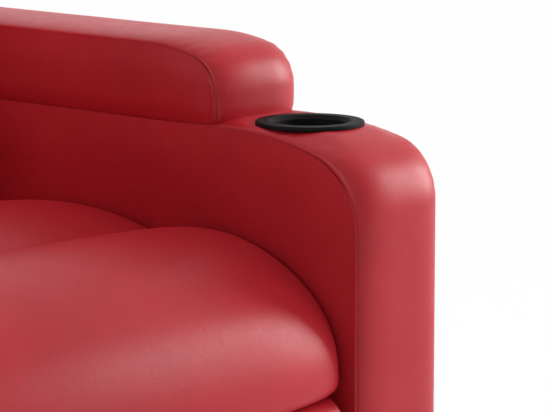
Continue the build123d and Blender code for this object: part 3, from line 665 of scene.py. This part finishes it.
footrestLook = {
    "shoulder": 0.032, "recess": -0.005, "bow": 0.004, "endClear": 0.009, "topClear": 0.0015,
    "boardTop": 0.305, "slope": 0.030,  # the top falls to the board over this depth
    "endDraw": 0.0100, "fullness": 0.60, "lowDraw": (0, 0, 1),
    "across": 41, "rows": 80, "underRows": 14, "step": 0.005, "cornerStep": 0.003, "ease": 3,
    "ripple": 0.0016, "rippleScale": 8, "fill": 0.85,
}
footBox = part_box("footrest_pad")


def footrestPath(drop):
    look = footrestLook
    front, rear, low = footBox[0][1] + drop, footBox[1][1], footBox[0][2] + drop / 2
    top = seatLook["rollUnder"] + drop * seatLook["endRise"] - look["topClear"]
    step, r, slope = look["step"], look["shoulder"], rear - look["slope"]
    face = front + look["recess"] + look["bow"]
    upper = joinRuns(
        linePoints((rear, low), (face + r, low), step),
        arcPoints((face + r, low + r), r, 270, 180, look["cornerStep"]),
        bowPoints((face, low + r), (front + look["recess"], (low + top) / 2), (face, top - r), step),
        arcPoints((face + r, top - r), r, 180, 90, look["cornerStep"]),
        linePoints((face + r, top), (slope, top), step),
        linePoints((slope, top), (rear, look["boardTop"]), step),
    )
    return easedPath(upper, look["ease"]), [(rear, look["boardTop"]), (rear, low)]


footVerts, footFaces = crownedForm(footrestPath, footBox[1][0] - footrestLook["endClear"], footrestLook)
footrestCover = meshPiece("footrestCover", footVerts, footFaces, "footrest", "footrest_pad")
print("footrest covered")


backLook = {  # depths from the pivot, heights and half widths, before the back leans
    "lean": 16, "panelFront": -0.0225, "frameFront": -0.0175, "frameRear": 0.0175,
    "bottom": 0.432, "shoulder": 0.706, "middleTop": 0.884, "top": 1.050,
    "lowHalf": 0.240, "highHalf": 0.282,
}
cushionLook = {
    "edge": 0.092, "full": 0.122, "round": 0.026, "gap": 0.0005,
    "endDraw": 0.042, "endShare": 0.4, "fullness": 0.6, "lowDraw": (0, 0, 1),
    "across": 45, "rows": 72, "underRows": 14, "step": 0.006, "cornerStep": 0.0036, "ease": 6,
    "ripple": 0.0022, "rippleScale": 7, "fill": 0.8,
}
stuffing = {
    "voxel": 0.006, "pressure": 4.0, "frames": 20, "cap": 0.022, "ease": 8,
    "quality": 5, "mass": 0.3, "stiffness": 12, "bending": 0.4,
    "sewnDepth": 0.015, "sewnFade": 0.03,  # held at the panel, free further out
}
reclineJoint = [j for j in frame["joints"] if j["name"] == "back_recline"][0]
pivot = Vector(reclineJoint["pos_m"])
leanTurn = Matrix.Rotation(-radians(backLook["lean"]), 4, "X")
leaned = Matrix.Translation(pivot) @ leanTurn @ Matrix.Translation(-pivot)


def leanBack(points):
    return [leaned @ Vector(p) for p in points]


def plumpUp(cushion, low, high, half):
    upright = leaned.inverted()
    remesh = cushion.modifiers.new("evenCover", "REMESH")
    remesh.mode = "VOXEL"
    remesh.voxel_size = stuffing["voxel"]
    remesh.use_smooth_shade = True
    mesh = bpy.data.meshes.new_from_object(cushion.evaluated_get(bpy.context.evaluated_depsgraph_get()))
    cushion.modifiers.clear()
    cushion.data = mesh
    rest = [v.co.copy() for v in mesh.vertices]
    back = pivot.y + backLook["panelFront"]
    held = cushion.vertex_groups.new(name="sewnEdge")
    for i, p in enumerate(rest):
        away = back - (upright @ p).y - stuffing["sewnDepth"]
        held.add([i], 1.0 - smoothShare(away / stuffing["sewnFade"]), "REPLACE")
    cloth = cushion.modifiers.new("stuffing", "CLOTH")
    cloth.settings.quality = stuffing["quality"]
    cloth.settings.mass = stuffing["mass"]
    cloth.settings.tension_stiffness = stuffing["stiffness"]
    cloth.settings.compression_stiffness = stuffing["stiffness"]
    cloth.settings.bending_stiffness = stuffing["bending"]
    cloth.settings.use_pressure = True
    cloth.settings.uniform_pressure_force = stuffing["pressure"]
    cloth.settings.vertex_group_mass = "sewnEdge"
    cloth.settings.effector_weights.gravity = 0
    for step in range(1, stuffing["frames"] + 1):
        scene.frame_set(step)
    swollen = cushion.evaluated_get(bpy.context.evaluated_depsgraph_get()).to_mesh()
    places = [v.co.copy() for v in swollen.vertices]
    cushion.modifiers.clear()
    scene.frame_set(1)
    gap = cushionLook["gap"]
    for vertex, start, place in zip(mesh.vertices, rest, places):
        move = place - start
        if move.length > stuffing["cap"]:
            move *= stuffing["cap"] / move.length
        p = upright @ (start + move)
        p.z = min(max(p.z, low + gap), high - gap)  # keeps clear of its neighbours
        p.x = min(max(p.x, -half), half)
        vertex.co = leaned @ p
    mesh.polygons.foreach_set("use_smooth", [True] * len(mesh.polygons))
    mesh.update()
    eased = cushion.modifiers.new("easedCover", "SMOOTH")
    eased.factor = 0.5
    eased.iterations = stuffing["ease"]
    finer = cushion.modifiers.new("finerCover", "SUBSURF")
    finer.levels = 1
    finer.render_levels = 1


def buildBackCushion(name, node, half, low, high):
    look = cushionLook

    def puffPath(drop):
        r, step, cornerStep = look["round"], look["step"], look["cornerStep"]
        back = pivot.y + backLook["panelFront"]
        edge, full = back - look["edge"] + drop, back - look["full"] + drop
        bottom = low + look["gap"] + drop * look["endShare"]
        top = high - look["gap"] - drop * look["endShare"]
        upper = joinRuns(
            linePoints((back, bottom), (edge + r, bottom), step),
            arcPoints((edge + r, bottom + r), r, 270, 180, cornerStep),
            bowPoints((edge, bottom + r), (full, (bottom + top) / 2), (edge, top - r), step),
            arcPoints((edge + r, top - r), r, 180, 90, cornerStep),
            linePoints((edge + r, top), (back, top), step),
        )
        return easedPath(upper, look["ease"]), [(back, top), (back, bottom)]

    verts, faces = crownedForm(puffPath, half, look)
    cushion = meshPiece(name, leanBack(verts), faces, "back", node)
    plumpUp(cushion, low, high, half)


backCushions = (  # half width, lower edge and upper edge of each
    ("lumbarCushion", "lumbar_cushion", "lowHalf", "bottom", "shoulder"),
    ("middleCushion", "middle_cushion", "highHalf", "shoulder", "middleTop"),
    ("headCushion", "head_cushion", "highHalf", "middleTop", "top"),
)
for cushionName, cushionNode, *cushionSizes in backCushions:
    buildBackCushion(cushionName, cushionNode, *(backLook[size] for size in cushionSizes))
print("back cushions made")


coverLook = {
    "low": 0.452, "skirt": 0.362, "rear": 0.0475, "rearRound": 0.016, "corner": 0.063, "shoulderRise": 0.040,
    "clear": 0.004, "tuckIn": 0.004, "wall": 0.007, "wallTurns": 6, "roundTurns": 8,
    "halfCount": 110, "step": 0.006, "ease": 4,
    "panelRings": 16, "spine": (0.62, 0.84), "puff": 0.008, "puffRate": 1.8,
    "ripple": 0.0016, "rippleScale": 6,
    "weltRadius": 0.0026, "weltIn": 0.0035, "weltForward": 0.0045, "weltUp": 0.003, "fill": 0.7,
}


def coverOutline(bottom, grow, look):
    low, high = backLook["lowHalf"] + look["clear"] + grow, backLook["highHalf"] + grow
    top, r, step = backLook["top"] + grow, look["corner"] + grow, look["step"]
    shoulder = backLook["shoulder"]
    broad = shoulder + look["shoulderRise"]
    half = joinRuns(
        linePoints((low, bottom), (low, shoulder), step),
        linePoints((low, shoulder), (high, broad), step),
        linePoints((high, broad), (high, top - r), step),
        arcPoints((high - r, top - r), r, 0, 90, step),
        linePoints((high - r, top), (0, top), step),
    )
    half = evenPath(easedPath(half, look["ease"]), look["halfCount"])
    return half + [(-x, z) for x, z in reversed(half[:-1])]


def coverRing(y, bottom, grow, look):
    return [Vector((x, pivot.y + y, z)) for x, z in coverOutline(bottom, grow, look)]


def coverWall(columns, look):  # the cover folded in round the sides and the top
    front, rear, turn = backLook["frameFront"], backLook["frameRear"], look["wall"] / 2
    rings = [(rear, -look["wall"]), (front, -look["wall"])]
    for k in range(look["wallTurns"] + 1):
        a = radians(180 * k / look["wallTurns"])
        rings.append((front + turn * (1 - sin(a)), -turn * (1 + cos(a))))
    rings.append((rear, 0.0))
    verts = []
    for y, grow in rings:
        verts += coverRing(y, look["low"], grow, look)
    faces = gridFaces(len(rings), columns)
    for c in (0, columns - 1):  # lower ends of the wall
        faces.append(tuple(r * columns + c for r in range(len(rings))))
    return verts, faces


def coverTub(columns, look):  # rounded rear edge and the puffed rear panel
    frameRear, r = backLook["frameRear"], look["rearRound"]
    flatEnd = look["rear"] - r
    rings = [(frameRear, -look["tuckIn"]), (frameRear, 0.0), (flatEnd, 0.0)]
    for k in range(1, look["roundTurns"] + 1):
        a = radians(90 * k / look["roundTurns"])
        rings.append((flatEnd + r * sin(a), -r * (1 - cos(a))))
    verts = []
    for y, grow in rings:
        verts += coverRing(y, look["skirt"] - min(0.0, grow), grow, look)
    last = verts[-columns:]
    spineLow, spineHigh = look["spine"]
    for k in range(1, look["panelRings"] + 1):
        share = k / look["panelRings"]
        puff = sin(pi / 2 * min(1.0, share * look["puffRate"]))
        for p in last:
            spineZ = min(max(p.z, spineLow), spineHigh)
            flat = Vector((p.x * (1 - share), p.y, p.z + (spineZ - p.z) * share))
            flat.y += look["puff"] * puff + look["ripple"] * softNoise(flat, look["rippleScale"], 3.0) * puff
            verts.append(flat)
    return verts, gridFaces(len(rings) + look["panelRings"], columns, closed=True)


def buildBackCover(look):
    verts, faces = [], []
    columns = 2 * look["halfCount"] - 1
    appendPart(verts, faces, *coverWall(columns, look))
    appendPart(verts, faces, *coverTub(columns, look))
    closing = coverRing(backLook["frameRear"], look["skirt"], -look["tuckIn"], look)
    appendPart(verts, faces, closing, [tuple(range(columns))])
    weltY, weltLow = look["rear"] - look["weltForward"], look["skirt"] + look["weltUp"]
    welt = coverRing(weltY, weltLow, -look["weltIn"], look)
    appendPart(verts, faces, *tubeAlong(welt, look["weltRadius"], Vector((0, 1, 0))))
    return meshPiece("backCover", leanBack(verts), faces, "back", "back_cover")


backCover = buildBackCover(coverLook)
print("back covered")


stageLook = {
    "floor": (0.88, 0.88, 0.88), "floorCloud": 0.99, "floorRough": 0.7, "floorHalf": 40.0,
    "floorWhite": 0.985, "shadowReach": 0.35, "world": 0.27,
}


def seenRays(nodes, links):  # 1 for what the eye, a mirror or a pane sees, 0 for light
    path = nodes.new("ShaderNodeLightPath")
    share = path.outputs["Is Camera Ray"]
    for ray in ("Is Glossy Ray", "Is Transmission Ray"):
        either = nodes.new("ShaderNodeMath")
        either.operation = "MAXIMUM"
        links.new(share, either.inputs[0])
        links.new(path.outputs[ray], either.inputs[1])
        share = either.outputs["Value"]
    return share


def makeFloor(look):
    mat, nodes, links, shader = startMaterial("paleFloor")
    coord = nodes.new("ShaderNodeTexCoord")
    cloud = addNode(nodes, "ShaderNodeTexNoise", Scale=3, Detail=2)
    links.new(coord.outputs["Object"], cloud.inputs["Vector"])
    tone = twoToneRamp(nodes, tuple(c * look["floorCloud"] for c in look["floor"]), look["floor"])
    links.new(cloud.outputs["Fac"], tone.inputs["Fac"])
    links.new(tone.outputs["Color"], shader.inputs["Base Color"])
    shader.inputs["Roughness"].default_value = look["floorRough"]
    glow = addNode(nodes, "ShaderNodeEmission", Strength=1.0)
    near = addNode(nodes, "ShaderNodeAmbientOcclusion", Color=(1, 1, 1, 1), Distance=look["shadowReach"])
    links.new(near.outputs["Color"], glow.inputs["Color"])  # white, but for the shade close to the chair
    seen = nodes.new("ShaderNodeMath")
    seen.operation = "MULTIPLY"
    seen.inputs[1].default_value = look["floorWhite"]
    mix = nodes.new("ShaderNodeMixShader")
    links.new(seenRays(nodes, links), seen.inputs[0])
    links.new(seen.outputs["Value"], mix.inputs["Fac"])
    links.new(shader.outputs["BSDF"], mix.inputs[1])
    links.new(glow.outputs["Emission"], mix.inputs[2])
    links.new(mix.outputs["Shader"], nodes["Material Output"].inputs["Surface"])
    far = look["floorHalf"]
    corners = [(-far, -far, 0), (far, -far, 0), (far, far, 0), (-far, far, 0)]
    mesh = bpy.data.meshes.new("floorSheet")
    mesh.from_pydata(corners, [], [(0, 1, 2, 3)])
    mesh.materials.append(mat)
    floor = bpy.data.objects.new("floorSheet", mesh)
    scene.collection.objects.link(floor)


def makeWorld(look):
    world = bpy.data.worlds.new("studioWorld")
    scene.world = world
    world.use_nodes = True
    nodes, links = world.node_tree.nodes, world.node_tree.links
    light = nodes["Background"]
    light.inputs["Color"].default_value = (1, 1, 1, 1)
    light.inputs["Strength"].default_value = look["world"]
    white = addNode(nodes, "ShaderNodeBackground", Color=(1, 1, 1, 1), Strength=1.0)
    mix = nodes.new("ShaderNodeMixShader")
    links.new(seenRays(nodes, links), mix.inputs["Fac"])
    links.new(light.outputs["Background"], mix.inputs[1])
    links.new(white.outputs["Background"], mix.inputs[2])
    links.new(mix.outputs["Shader"], nodes["World Output"].inputs["Surface"])


lamps = {  # place, aim, width, height, power, and whether it leaves a highlight
    "sideLamp": ((2.7, 0.1, 1.0), (0.2, -0.1, 0.55), 1.7, 0.9, 9, False),
    "keyLamp": ((2.50, -1.30, 1.38), (0.3, -0.38, 0.50), 0.75, 1.35, 46, True),
    "frontLamp": ((1.9, -2.3, 1.4), (0.1, -0.35, 0.40), 1.6, 1.2, 21, False),
    "topLamp": ((0.1, 0.3, 3.0), (0.1, 0.0, 0.5), 2.0, 2.0, 21, False),
    "fillLamp": ((-2.6, 0.5, 1.4), (0.3, -0.1, 0.65), 1.2, 0.7, 15, True),
}


def addLamp(name, place, aim, width, height, power, shows):
    data = bpy.data.lights.new(name, "AREA")
    data.shape = "RECTANGLE"
    data.size = width
    data.size_y = height
    data.energy = power
    lamp = bpy.data.objects.new(name, data)
    lamp.location = place
    lamp.rotation_euler = (Vector(aim) - Vector(place)).to_track_quat("-Z", "Y").to_euler()
    lamp.visible_glossy = shows
    scene.collection.objects.link(lamp)


photoView = {
    "target": (0.300, -0.2975, 0.500), "azimuth": -47.36, "elevation": 9.7, "distance": 3.0006,
    "width": 550, "focal": 3023.67, "right": 13.69, "down": 13.27,  # pixels of the photograph
    "sensor": 36.0,
}


def makeCamera(view):
    a, e = radians(view["azimuth"]), radians(view["elevation"])
    forward = Vector((-sin(a) * cos(e), cos(a) * cos(e), -sin(e)))
    data = bpy.data.cameras.new("photoCamera")
    data.sensor_width = view["sensor"]
    data.lens = view["focal"] * view["sensor"] / view["width"]
    data.shift_x = -view["right"] / view["width"]
    data.shift_y = view["down"] / view["width"]
    camera = bpy.data.objects.new("photoCamera", data)
    camera.location = Vector(view["target"]) - forward * view["distance"]
    camera.rotation_euler = forward.to_track_quat("-Z", "Y").to_euler()
    scene.collection.objects.link(camera)
    scene.camera = camera


makeFloor(stageLook)
makeWorld(stageLook)
for lampName, lampSet in lamps.items():
    addLamp(lampName, *lampSet)
makeCamera(photoView)
scene.view_settings.view_transform = "Standard"
print("stage, lamps and camera set")
